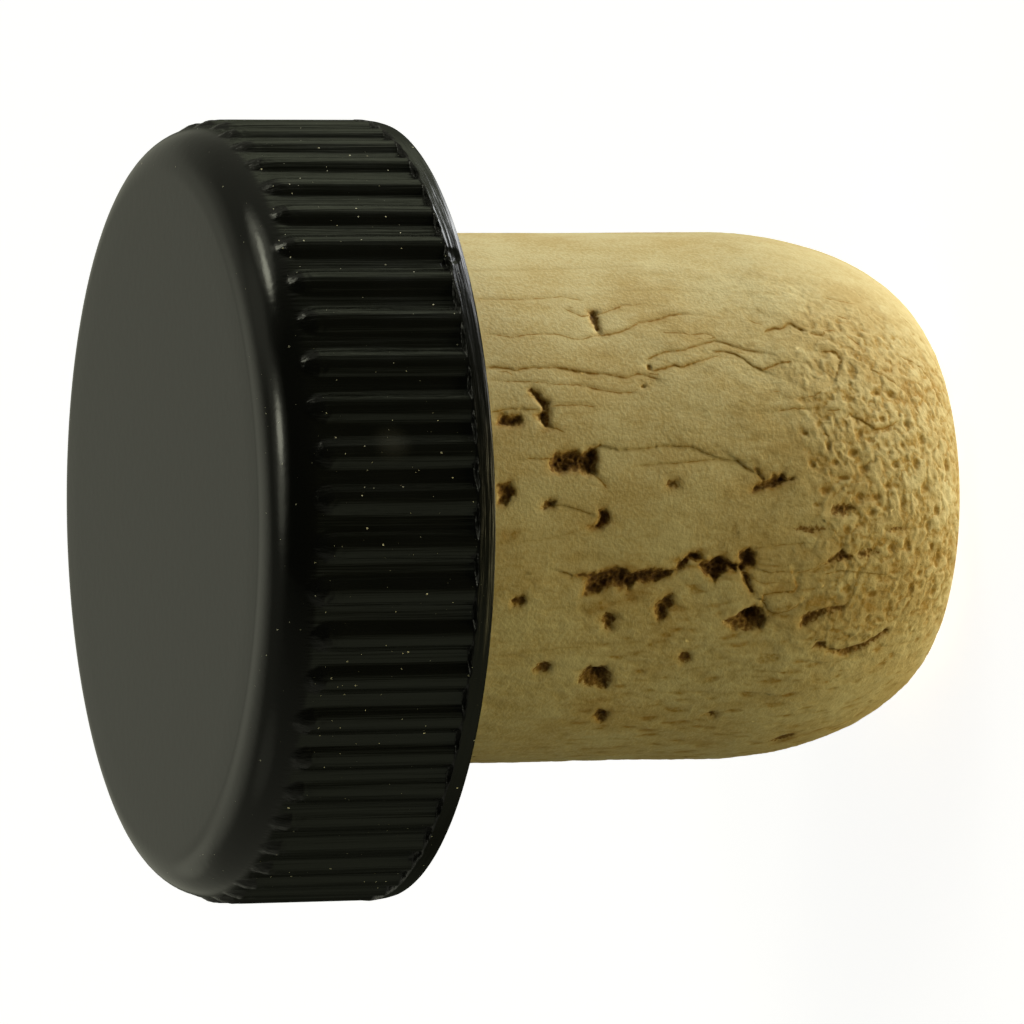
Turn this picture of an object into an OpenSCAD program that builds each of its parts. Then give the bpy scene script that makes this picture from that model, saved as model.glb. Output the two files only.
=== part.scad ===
// Bar-top stopper: a natural cork shank glued into a ribbed, moulded cap.
// The stopper stands on the end of its cork. The origin is on the cap's axis,
// in the plane of that end, and +Z points up through the cap.

/* [Cap] */
// Outside diameter of the cap, across the band at its rim
cap_d = 29; // [28:0.5:34]
// Height of the cap, from its rim to its top face
cap_h = 8.25; // [7.5:0.25:12]
// How far the rounded top edge reaches inwards
edge_in = 1.8; // [0.8:0.1:2.6]
// How far the rounded top edge reaches down the side
edge_down = 1.8; // [0.8:0.1:2]
// How far the chamfer at the rim reaches inwards
rim_in = 0.3; // [0.1:0.05:0.5]
// How far the chamfer at the rim reaches up
rim_up = 0.4; // [0.1:0.05:0.5]
// Thickness of the top disc over the cork
top_t = 2.25; // [1.5:0.25:3]
// Wall of the outer skirt
skirt_t = 1.6; // [1.2:0.1:1.8]

/* [Grip ribs] */
// Number of ribs round the side, which stand on it like half-sunk pins
rib_count = 54; // [30:2:60]
// Radius of a rib's round crest
rib_r = 0.65; // [0.4:0.05:0.8]
// Height of a rib above the side
rib_h = 0.26; // [0.1:0.02:0.3]
// How far the crests stay below the band at the rim
rib_drop = 0.04; // [0.02:0.01:0.1]
// Distance from the top face down to the ribs' round ends
rib_start = 1.5; // [1.3:0.05:2.2]
// Height of the band that closes off the ribs at the rim
band_h = 0.65; // [0.65:0.05:1.5]
// Turn of the ribs about the axis
rib_turn = 5.12; // [0:0.01:12]

/* [Socket and webs under the cap] */
// Wall of the sleeve round the cork
sleeve_t = 1.1; // [0.8:0.1:1.3]
// Gap that the glue fills on the tight side of the cork
glue_gap = 0.1; // [0.05:0.05:0.2]
// Number of stiffening webs between sleeve and skirt
web_count = 9; // [6:1:12]
// Thickness of a web
web_t = 0.8; // [0.6:0.1:1.2]
// How far the webs stop short of the rim
web_drop = 1.2; // [0.5:0.1:3]

/* [Cork] */
// Diameter of the cork
cork_d = 19.6; // [18.5:0.1:19.8]
// Whole length of the cork, with the part inside the cap
cork_len = 27; // [24:0.5:35]
// How far the end's rounding reaches inwards
nose_in = 4.3; // [2:0.1:6]
// How far the end's rounding reaches up the side
nose_up = 8.1; // [4:0.1:8.5]
// How much slimmer the cork's hidden end is than its side
seat_taper = 0.5; // [0.2:0.1:1]
// How far the cork was glued off the cap's centre
cork_offset = 0.4; // [0:0.05:0.45]
// Depth of the deepest pores in the cork
pore_depth = 0.8; // [0.3:0.1:1.2]

/* [Hidden] */
$fn = 96;

cap_r = cap_d / 2;
cork_r = cork_d / 2;
socket_depth = cap_h - top_t;
rim_z = cork_len - socket_depth;
total_h = rim_z + cap_h;
socket_r = cork_r + cork_offset + glue_gap;
sleeve_r = socket_r + sleeve_t;
pocket_r = cap_r - skirt_t;

// The cap's side between the ribs, the axis of a rib's rounding, how far its round end
// reaches along the side, and the height of the band's top and of the round end's centre
side_r = cap_r - rib_drop - rib_h;
rib_axis_r = cap_r - rib_drop - rib_r;
rib_nose = sqrt(rib_h * (2 * rib_r - rib_h));
band_z = rim_z + band_h;
nose_z = total_h - rib_start - rib_nose;

// Steps in a quarter ellipse
EDGE_STEPS = 12;
NOSE_STEPS = 20;
// Overlap of a cutting tool past the face that it opens
OVERCUT = 1;
// How far a rib runs into the band
RIB_SINK = 0.1;
// Steps in the rounding of a rib
RIB_STEPS = 24;

// The pores (lenticels) that break the cork's side, one row each:
// distance below the cap's rim, angle round the side, length along the axis, width,
// depth as a share of pore_depth, and turn of the long side out of the axis.
// The angle is counted from the front (-Y) towards +X.
PORES = [
  [4.4, 7, 1.75, 0.85, 0.9, 0],
  [11.9, 2.4, 1.25, 0.5, 0.8, 22],
  [8.2, 2, 0.5, 0.35, 0.6, 0],
  [5.4, -5, 0.45, 0.65, 0.7, -25],
  [5.9, -17.2, 1.7, 0.45, 0.7, 0],
  [7.6, -17.4, 1.8, 0.4, 0.7, 0],
  [9.1, -13.4, 0.7, 0.5, 0.9, 0],
  [10, -15, 1, 0.6, 1, -8],
  [11.1, -14.2, 0.55, 0.85, 0.9, 0],
  [11.6, -27, 1.6, 0.85, 1, 0],
  [14, -26.6, 1.6, 0.5, 0.7, 18],
  [8.25, -24.8, 0.7, 0.95, 0.7, 0],
  [6.1, -42.2, 1.2, 1.2, 0.9, -20],
  [6.95, -55, 0.6, 1, 0.8, -15],
  [11.25, -54.6, 0.55, 0.45, 0.6, 0],
  [9.35, -36.6, 0.75, 0.6, 0.5, 0],
  [4, -38.8, 0.75, 0.6, 0.4, 0],
  [2.15, 16.6, 1, 0.4, 0.8, 0],
  [3.35, 18, 0.5, 0.95, 0.7, 10],
  [6.15, 40, 0.45, 1.05, 0.4, 0],
  [14.8, -13.6, 0.9, 0.5, 0.5, 10],
  [14.7, -66, 0.6, 0.5, 0.5, 0],
];

// Ragged outline of a pore, one unit long and one unit wide
PORE_SHAPE = [
  [-0.5, -0.08], [-0.32, -0.4], [-0.05, -0.3], [0.2, -0.5], [0.5, -0.2],
  [0.36, 0.12], [0.45, 0.42], [0.12, 0.34], [-0.14, 0.5], [-0.38, 0.26],
];

// Quarter ellipse from the crown (t = 0) to the side (t = 90)
function ellipse_arc(reach_r, reach_z, steps) =
  [for (i = [0:steps]) let (t = 90 * i / steps) [reach_r * sin(t), reach_z * cos(t)]];

// Outline of the cap, from the axis over the rounded edge and the side to the band and the rim
function cap_outline() = concat(
  [[0, rim_z], [0, total_h]],
  [for (p = ellipse_arc(edge_in, edge_down, EDGE_STEPS))
    [side_r - edge_in + p[0], total_h - edge_down + p[1]]],
  [[side_r, band_z], [cap_r, band_z], [cap_r, rim_z + rim_up], [cap_r - rim_in, rim_z]]
);

// Outline of the cork, from the axis round its nose to the end inside the cap,
// which is slightly tapered so that it slips into the socket
function cork_outline() = concat(
  [[0, cork_len], [0, 0]],
  [for (p = ellipse_arc(nose_in, nose_up, NOSE_STEPS)) [cork_r - nose_in + p[0], nose_up - p[1]]],
  [[cork_r, rim_z], [cork_r - seat_taper, cork_len]]
);

// Radius of the cork's side at height z
function cork_r_at(z) =
  z >= nose_up ? cork_r : cork_r - nose_in * (1 - sqrt(1 - pow(1 - z / nose_up, 2)));

// One rib: a pin with a round end, sunk in the side and run into the band
module rib() {
  translate([rib_axis_r, 0, band_z - RIB_SINK])
    cylinder(r = rib_r, h = nose_z - band_z + RIB_SINK, $fn = RIB_STEPS);
  translate([rib_axis_r, 0, nose_z])
    sphere(r = rib_r, $fn = RIB_STEPS);
}

module web() {
  translate([socket_r, -web_t / 2, rim_z + web_drop])
    cube([cap_r - socket_r - skirt_t / 2, web_t, socket_depth - web_drop + top_t / 2]);
}

// The space cored out between the sleeve and the skirt
module pocket() {
  difference() {
    translate([0, 0, rim_z - OVERCUT])
      cylinder(r = pocket_r, h = socket_depth + OVERCUT);
    translate([0, 0, rim_z - 2 * OVERCUT])
      cylinder(r = sleeve_r, h = socket_depth + 3 * OVERCUT);
    for (i = [0:web_count - 1])
      rotate([0, 0, 360 * i / web_count])
        web();
  }
}

// The cap's body with its ribbed side, before it is cored out
module shell() {
  rotate_extrude()
    polygon(cap_outline());
  for (i = [0:rib_count - 1])
    rotate([0, 0, rib_turn + 360 * i / rib_count])
      rib();
}

module cap() {
  color([0.09, 0.09, 0.08])
    difference() {
      shell();
      translate([0, 0, rim_z - OVERCUT])
        cylinder(r = socket_r, h = socket_depth + OVERCUT);
      pocket();
    }
}

// A ragged hole sunk square into the side of the cork
module pore(below, angle, along, across, share, turn) {
  z = rim_z - below;
  depth = pore_depth * share;
  rotate([0, 0, angle - 90])
    translate([cork_r_at(z) - depth, 0, z])
      rotate([90, 0, 90])
        linear_extrude(height = depth + OVERCUT)
          rotate(turn)
            polygon([for (p = PORE_SHAPE) [p[1] * across, p[0] * along]]);
}

module cork() {
  color([0.76, 0.66, 0.43])
    translate([cork_offset, 0, 0])
      difference() {
        rotate_extrude()
          polygon(cork_outline());
        for (p = PORES)
          pore(p[0], p[1], p[2], p[3], p[4], p[5]);
      }
}

cap();
cork();
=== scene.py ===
"""Looks of the cork stopper: a moulded black cap with a ribbed grip on a natural cork.

Lengths are in millimetres until a mesh, a texture or the camera is made. Angles round the object are
in degrees, counted from the front (-Y) towards +X where nothing else is said.
"""

import math
import random

import bpy
import numpy as np
from mathutils import Matrix, Vector


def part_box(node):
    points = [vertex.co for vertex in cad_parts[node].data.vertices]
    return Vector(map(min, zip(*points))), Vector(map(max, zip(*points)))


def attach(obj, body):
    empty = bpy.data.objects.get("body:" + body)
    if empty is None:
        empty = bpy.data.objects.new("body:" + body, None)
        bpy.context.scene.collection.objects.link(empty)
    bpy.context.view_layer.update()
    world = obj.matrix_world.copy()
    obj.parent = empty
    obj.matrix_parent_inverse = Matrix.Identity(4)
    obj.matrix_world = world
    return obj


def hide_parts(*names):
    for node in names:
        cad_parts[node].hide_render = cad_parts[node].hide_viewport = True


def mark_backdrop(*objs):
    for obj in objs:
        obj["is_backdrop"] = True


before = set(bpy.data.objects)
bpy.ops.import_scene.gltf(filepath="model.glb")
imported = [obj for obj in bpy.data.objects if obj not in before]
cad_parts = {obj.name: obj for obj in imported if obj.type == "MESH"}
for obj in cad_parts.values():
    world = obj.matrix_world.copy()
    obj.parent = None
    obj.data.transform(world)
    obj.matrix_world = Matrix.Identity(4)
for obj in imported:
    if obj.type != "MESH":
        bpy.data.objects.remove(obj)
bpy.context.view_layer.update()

MM = 0.001


# ---- sizes from the frame

def box_mm(name):
    low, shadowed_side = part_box(name)
    return np.array(low) / MM, np.array(shadowed_side) / MM


CAP_LOW, CAP_HIGH = box_mm("cap")
CORK_LOW, CORK_HIGH = box_mm("cork")

CAP_R = (CAP_HIGH[0] - CAP_LOW[0]) / 2
TOP_Z = CAP_HIGH[2]
RIM_Z = CAP_LOW[2]
CAP_H = TOP_Z - RIM_Z
CORK_R = (CORK_HIGH[1] - CORK_LOW[1]) / 2
CORK_X = (CORK_HIGH[0] + CORK_LOW[0]) / 2
CORK_TOP_Z = CORK_HIGH[2]

# the cap's rounded edge and walls, as in the solid
EDGE_IN = 1.8
EDGE_DOWN = 1.8
SKIRT_T = 1.6
SLEEVE_T = 1.1
GLUE_GAP = 0.1
WEB_COUNT = 9
WEB_T = 0.8
WEB_DROP = 1.2

# the ribs, and the band that closes them off at the rim
RIB_COUNT = 54
RIB_R = 0.65
RIB_H = 0.26
RIB_DROP = 0.04
RIB_START = 1.5
RIB_TURN = 5.12
BAND_H = 0.65
# how far the band leans inwards towards the rim, and how far its foot is rounded in
BAND_LEAN = 0.1
BAND_ROUND = 0.02
SIDE_R = CAP_R - RIB_DROP - RIB_H
RIB_AXIS_R = CAP_R - RIB_DROP - RIB_R
RIB_NOSE = math.sqrt(RIB_H * (2 * RIB_R - RIB_H))

# the cork's rounded end
NOSE_IN = 4.3
NOSE_UP = 8.1
SEAT_TAPER = 0.5


# ---- helpers

# factors that scatter a cell's three numbers and its seed, and what stirs their bits again
SCATTER = (374761393, 668265263, 2147483647, 1274126177)
STIRS = ((13, 1274126177), (16, 2246822519))
LAST_SHIFT = 15
LOW_32_BITS = 0xFFFFFFFF
TEN_BITS = 1023
# brings gradient noise to about -1 to 1
NOISE_GAIN = 1.6
# between the seeds of a noise's layers
LAYER_SEEDS = 31


def smooth(edge_a, edge_b, value):
    """0 before edge_a, 1 after edge_b, and a soft S between them; edge_b may be the smaller one."""
    t = np.clip((value - edge_a) / (edge_b - edge_a), 0.0, 1.0)
    return t * t * (3 - 2 * t)


def region(value, limits):
    """1 between the middle two of four limits, fading to 0 at the outer two."""
    start, full, still, end = limits
    return smooth(start, full, value) * smooth(end, still, value)


def centred(angle, period=360):
    """The angle less whole periods, within half a period of zero."""
    return (angle + period / 2) % period - period / 2


def soft_max(a, b, width):
    """The larger of two values, rounded where they cross."""
    h = np.clip(0.5 + 0.5 * (a - b) / width, 0.0, 1.0)
    return b * (1 - h) + a * h + width * h * (1 - h)


def hashed(ix, iy, iz, seed):
    """A repeatable random 32-bit number for each cell of a grid."""
    h = sum(part * factor for part, factor in zip((ix, iy, iz, seed), SCATTER)) & LOW_32_BITS
    for shift, factor in STIRS:
        h = ((h ^ (h >> shift)) * factor) & LOW_32_BITS
    return h ^ (h >> LAST_SHIFT)


def noise(points, size, seed):
    """Gradient noise, about -1 to 1, with bumps 'size' wide. points: (..., 3)."""
    p = points / size
    cell = np.floor(p).astype(np.int64)
    f = p - cell
    fade = f * f * f * (f * (f * 6 - 15) + 10)
    total = np.zeros(p.shape[:-1])
    for z, y, x in np.ndindex(2, 2, 2):
        corner = np.array([x, y, z])
        at = cell + corner
        h = hashed(at[..., 0], at[..., 1], at[..., 2], seed)
        d = f - corner
        slopes = [((h >> 10 * axis) & TEN_BITS) / (TEN_BITS / 2) - 1 for axis in range(3)]
        grad = slopes[0] * d[..., 0] + slopes[1] * d[..., 1] + slopes[2] * d[..., 2]
        share = np.prod(np.where(corner, fade, 1 - fade), axis=-1)
        total += grad * share
    return total * NOISE_GAIN


def layers(points, size, seed, count):
    """Noise with finer and finer layers added."""
    total = 0
    for i in range(count):
        total = total + noise(points, size / 2 ** i, seed + LAYER_SEEDS * i) / 2 ** i
    return total


def drawn_in(points, share):
    """Points drawn together along the axis, so that noise on them comes out 1 / share as long."""
    return points * np.array([1, 1, share])


def in_scene(name, data):
    """An object in the scene, made from a mesh or camera."""
    obj = bpy.data.objects.new(name, data)
    bpy.context.scene.collection.objects.link(obj)
    return obj


def ring_mesh(name, rings, values=None):
    """A closed mesh from rings of points, (rows, columns, 3) in mm, shut by a pole at each end."""
    rows, cols = rings.shape[:2]
    poles = np.array([rings[0].mean(0), rings[-1].mean(0)])
    body = rings[1:-1].reshape(-1, 3)
    co = np.concatenate([body, poles]) * MM
    start = np.arange(rows - 3)[:, None] * cols
    col = np.arange(cols)
    nxt = (col + 1) % cols
    quads = np.stack(
        [start + col, start + cols + col, start + cols + nxt, start + nxt], -1
    ).reshape(-1, 4)
    last = (rows - 3) * cols
    top, bottom = len(body), len(body) + 1
    fan_top = np.stack([np.full(cols, top), col, nxt], -1)
    fan_bottom = np.stack([last + col, np.full(cols, bottom), last + nxt], -1)
    loops = np.concatenate([quads.ravel(), fan_top.ravel(), fan_bottom.ravel()])
    sizes = np.concatenate([np.full(len(quads), 4), np.full(2 * cols, 3)])
    mesh = bpy.data.meshes.new(name)
    mesh.vertices.add(len(co))
    mesh.vertices.foreach_set("co", co.astype(np.float32).ravel())
    mesh.loops.add(len(loops))
    mesh.loops.foreach_set("vertex_index", loops.astype(np.int32))
    mesh.polygons.add(len(sizes))
    mesh.polygons.foreach_set("loop_start", (np.cumsum(sizes) - sizes).astype(np.int32))
    mesh.update(calc_edges=True)
    mesh.validate()
    for key, field in (values or {}).items():
        flat = np.concatenate([field[1:-1].ravel(), [field[0].mean(), field[-1].mean()]])
        mesh.attributes.new(key, "FLOAT", "POINT").data.foreach_set("value", flat.astype(np.float32))
    mesh.polygons.foreach_set("use_smooth", np.ones(len(sizes), bool))
    return in_scene(name, mesh)


def triangles(obj):
    return sum(len(p.vertices) - 2 for p in obj.data.polygons)


# ---- the cap

CAP_COLS_PER_RIB = 22
EDGE_ROWS = 18
# the rounded edge's rows stop this far above the ribs
EDGE_CLEAR = 0.2
TOP_RINGS = (0, 4, 8, 11, SIDE_R - EDGE_IN)
# the ribs fade in over a length this many times that of a round end
NOSE_STRETCH = 1.45
RIB_FULL = RIB_START + RIB_NOSE
BAND_DOWN = CAP_H - BAND_H
# rows down the side: from and to, below the top face, and their number
SIDE_ROWS = [
    (RIB_START - 0.18, RIB_FULL + 0.15, 20), (RIB_FULL + 0.21, RIB_START + 1.35, 10),
    (RIB_START + 1.8, BAND_DOWN - 0.3, 7), (BAND_DOWN - 0.1, BAND_DOWN + 0.1, 9),
    (BAND_DOWN + 0.16, CAP_H, 10),
]
# chamfer on the edges of the underside
LIP = 0.04
SHARP_ANGLE = 50

# how far a rib wanders sideways, in degrees, and its end along the axis
RIB_WANDER = 0.22
RIB_STAGGER = 0.24
# the ribs' scuffed ends: even wear, and depth of the scores
SCUFF_WEAR = 0.02
SCUFF_SCORES = 0.025
# width of the rounding where a rib meets the side, and its growth along the rib
RIB_BLEND = 0.1
RIB_BLEND_GROWS = 0.04
# how far the band's edge wanders along the axis, how far the band lies inside CAP_R, and the
# depth of the lines round it
EDGE_WANDER = 0.05
BAND_INSET = 0.02
BAND_LINES = 0.006

# a scuffed notch in the band: distance below the top face, angle, radius, depth
NOTCH = (7.75, 39, 0.4, 0.06)


def rib_crests(down, phi, spot, base):
    """Radius of the side with its ribs, like half-sunk pins with round ends, uneven as moulded."""
    pitch = 360 / RIB_COUNT
    turn = phi - RIB_TURN + RIB_WANDER * noise(spot, size=1.8, seed=6)
    off = np.radians(centred(turn, pitch))
    rib = np.floor((phi - RIB_TURN + pitch / 2) / pitch).astype(np.int64) % RIB_COUNT
    start = RIB_START + RIB_STAGGER * ((hashed(rib, 0, 0, 5) & TEN_BITS) / TEN_BITS - 0.5)
    ahead = np.maximum(start + RIB_NOSE * NOSE_STRETCH - down, 0) / NOSE_STRETCH
    inside = RIB_R ** 2 - ahead ** 2 - (RIB_AXIS_R * np.sin(off)) ** 2
    pin = RIB_AXIS_R * np.cos(off) + np.sqrt(np.maximum(inside, 0))
    pin = np.where(inside > 0, pin, 0)
    scored = SCUFF_WEAR + SCUFF_SCORES * noise(drawn_in(spot, 3.0), size=0.22, seed=10)
    pin = pin - smooth(start + 1.3, start + 0.3, down) * scored
    blend = RIB_BLEND + RIB_BLEND_GROWS * smooth(start, start + 0.5, down)
    return np.minimum(soft_max(base, pin, blend), CAP_R - RIB_DROP)


def cap_side(down, phi):
    """Radius of the cap's outer side at a distance below the top face, for angles from +X."""
    t = np.clip(1 - down / EDGE_DOWN, 0, 1)
    base = SIDE_R - EDGE_IN * (1 - np.sqrt(1 - t ** 2))
    angle = np.radians(phi)
    # the noise is drawn out along the axis
    spot = np.stack([CAP_R * np.cos(angle), CAP_R * np.sin(angle), np.full(len(phi), 0.35 * down)], -1)
    side = rib_crests(down, phi, spot, base)
    # the band, with fine lines round it
    edge = BAND_DOWN + EDGE_WANDER * noise(spot, size=0.5, seed=7)
    fall = np.clip((down - CAP_H + BAND_H) / BAND_H, 0, 1)
    band = CAP_R - BAND_INSET - BAND_LEAN * fall - BAND_ROUND * smooth(0.72, 1.12, fall)
    band = band - BAND_LINES * noise(spot * np.array([0.3, 0.3, 6.0]), size=0.35, seed=9)
    side = side + (band - side) * smooth(edge - 0.05, edge + 0.04, down)
    # the notch
    notch_down, azimuth, reach, depth = NOTCH
    across = np.radians(centred(phi + 90 - azimuth)) * CAP_R
    away = np.hypot(across, down - notch_down) / reach
    away = away + 0.5 * noise(drawn_in(spot, 4), size=0.25, seed=8)
    return side - depth * smooth(1, 0.3, away)


def cap_edge():
    """Rows of the rounded top edge, a quarter ellipse that stops where the ribs begin."""
    t = np.linspace(0, math.pi / 2, EDGE_ROWS)
    rows = zip(SIDE_R - EDGE_IN + EDGE_IN * np.sin(t), EDGE_DOWN - EDGE_DOWN * np.cos(t))
    return [(r, down) for r, down in list(rows)[1:] if down < RIB_START - EDGE_CLEAR]


def underside(phi):
    """Rows of the cap's underside: the pocket with its webs, the sleeve, then the socket."""
    pocket_r = CAP_R - SKIRT_T
    socket_r = CORK_R + CORK_X + GLUE_GAP
    sleeve_r = socket_r + SLEEVE_T
    pocket_floor = CAP_H - (CORK_TOP_Z - RIM_Z)
    half_web = np.degrees(np.arcsin(WEB_T / 2 / pocket_r))
    on_web = np.abs(centred(phi, 360 / WEB_COUNT)) < half_web
    floor = np.where(on_web, CAP_H - WEB_DROP, pocket_floor)
    return [
        (pocket_r + LIP, CAP_H), (pocket_r, CAP_H - LIP), (pocket_r, floor),
        (sleeve_r, floor), (sleeve_r, CAP_H - LIP), (sleeve_r - LIP, CAP_H),
        (socket_r + LIP, CAP_H), (socket_r, CAP_H - LIP), (socket_r, pocket_floor),
        (socket_r / 2, pocket_floor), (0, pocket_floor),
    ]


def make_cap():
    cols = RIB_COUNT * CAP_COLS_PER_RIB
    phi = np.arange(cols) * 360 / cols
    side = np.concatenate([np.linspace(*stretch) for stretch in SIDE_ROWS])
    rows = [(r, 0) for r in TOP_RINGS] + cap_edge()
    rows += [(cap_side(down, phi), down) for down in side] + underside(phi)
    radius = np.array([np.broadcast_to(r, cols) for r, _ in rows], float)
    down = np.array([np.broadcast_to(d, cols) for _, d in rows], float)
    angle = np.radians(phi)
    rings = np.stack([radius * np.cos(angle), radius * np.sin(angle), TOP_Z - down], -1)
    cap = ring_mesh("cap_moulding", rings)
    cap.data.set_sharp_from_angle(angle=math.radians(SHARP_ANGLE))
    return cap


# ---- the cork's marks

# what breaks the cork's side is placed by points, as x,y pairs, of the camera's picture, which is
# PICTURE pixels wide and high
PICTURE = 1024

# pores: depth, darkness, then the outline of the hole
PORES = [
    (0.5, 0.7, [549,460, 555,454, 563,451, 572,450, 580,453, 589,449, 595,448, 597,460, 594,475, 588,476,
        580,471, 569,471, 561,475, 551,473, 548,466]),
    (0.35, 0.55, [588,312, 597,311, 597,316, 599,324, 600,335, 595,335, 593,326, 589,318]),
    (0.45, 0.7, [531,388, 536,392, 544,399, 548,403, 546,411, 549,422, 551,429, 544,429, 538,421, 536,415,
        541,411, 539,405, 533,398, 528,392]),
    (0.45, 0.8, [495,420, 504,414, 510,416, 519,416, 522,422, 515,426, 502,427, 495,424]),
    (0.35, 0.6, [497,484, 510,483, 514,491, 511,498, 505,505, 497,506]),
    (0.4, 0.5, [540,509, 543,501, 549,498, 554,501, 552,506, 546,510]),
    (0.5, 0.7, [599,510, 606,509, 607,514, 609,517, 604,524, 599,529, 591,529, 588,526, 597,523,
        600,516]),
    (0.3, 0.6, [664,488, 667,479, 676,480, 678,487, 669,489]),
    (0.6, 0.8, [752,464, 757,468, 761,475, 765,481, 773,476, 782,475, 787,478, 795,477, 786,483, 778,486,
        767,487, 761,489, 753,491, 753,486, 761,481, 755,472]),
    (0.45, 0.85, [570,575, 584,574, 593,572, 604,570, 615,567, 623,568, 628,572, 637,571, 645,569,
        656,568, 667,569, 677,568, 667,576, 656,581, 643,582, 632,584, 628,590, 623,588, 612,586, 606,588,
        599,592, 589,595, 583,594, 585,584, 589,578, 580,576]),
    (0.6, 1.0, [677,562, 685,556, 691,552, 698,551, 700,556, 699,560, 689,560, 684,566, 678,569]),
    (0.7, 1.0, [699,564, 707,562, 713,558, 717,555, 722,556, 727,561, 733,562, 738,565, 735,571, 726,570,
        720,574, 713,580, 706,576, 700,569]),
    (0.5, 0.85, [737,556, 741,549, 749,548, 754,552, 755,560, 752,566, 745,567, 743,571, 748,575, 750,584,
        754,592, 751,594, 745,586, 743,578, 736,568, 740,562]),
    (0.45, 0.55, [720,613, 725,619, 734,615, 741,610, 752,606, 760,607, 763,613, 770,615, 764,622,
        760,628, 745,630, 732,629, 723,623]),
    (0.7, 0.95, [739,614, 745,609, 759,607, 761,614, 757,620, 747,621, 741,619]),
    (0.4, 0.5, [799,626, 799,615, 806,612, 817,609, 828,606, 844,604, 842,609, 828,612, 815,619,
        804,626]),
    (0.35, 0.45, [811,647, 815,640, 824,640, 826,646, 835,648, 846,646, 859,642, 872,636, 885,627,
        889,630, 877,637, 863,646, 852,652, 842,655, 831,652, 822,648]),
    (0.4, 0.6, [825,564, 828,558, 836,552, 842,548, 846,553, 852,556, 848,560, 839,560, 831,564]),
    (0.2, 0.35, [852,556, 859,549, 877,548, 879,553, 861,558]),
    (0.25, 0.4, [826,512, 833,504, 850,503, 853,509, 844,515, 831,516]),
    (0.22, 0.35, [885,529, 896,526, 911,529, 894,533]),
    (0.12, 0.25, [787,529, 802,525, 820,525, 829,530, 815,533, 798,532]),
    (0.3, 0.55, [509,600, 514,595, 522,594, 525,600, 520,606, 512,606]),
    (0.35, 0.7, [654,607, 658,600, 667,594, 673,596, 674,603, 668,608, 665,616, 658,621, 655,615]),
    (0.3, 0.45, [600,617, 605,612, 613,613, 616,618, 612,623, 614,629, 608,632, 603,626]),
    (0.3, 0.42, [577,681, 581,672, 590,665, 605,665, 610,672, 611,680, 607,689, 597,687, 585,685]),
    (0.5, 0.95, [590,672, 594,667, 604,668, 606,675, 598,679, 591,677]),
    (0.3, 0.5, [533,668, 539,661, 548,660, 552,665, 546,671, 537,673]),
    (0.4, 0.65, [593,716, 598,708, 608,709, 608,716, 600,722]),
    (0.2, 0.5, [675,658, 681,652, 688,652, 691,655, 689,660, 683,663]),
    (0.2, 0.4, [703,714, 710,709, 718,712, 714,716]),
    (0.15, 0.4, [768,740, 780,734, 795,731, 790,735, 778,740]),
]

# brown stains that leave the surface whole: strength, then the outline
STAINS = [
    (0.35, [577,606, 590,598, 612,602, 608,610, 592,614, 580,614]),
    (0.4, [500,545, 500,532, 520,530, 516,540]),
    (0.3, [586,600, 600,590, 625,588, 600,596]),
    (0.4, [797,604, 811,597, 822,593, 833,593, 843,600, 840,605, 820,609, 804,612]),
    (0.35, [764,591, 772,585, 794,580, 796,588, 780,592]),
    (0.3, [746,555, 752,555, 753,563, 747,563]),
    (0.3, [562,557, 580,553, 600,553, 598,560, 570,562]),
    (0.25, [596,355, 607,351, 608,358, 600,359]),
    (0.3, [665,563, 672,558, 680,558, 676,564]),
]

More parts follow.
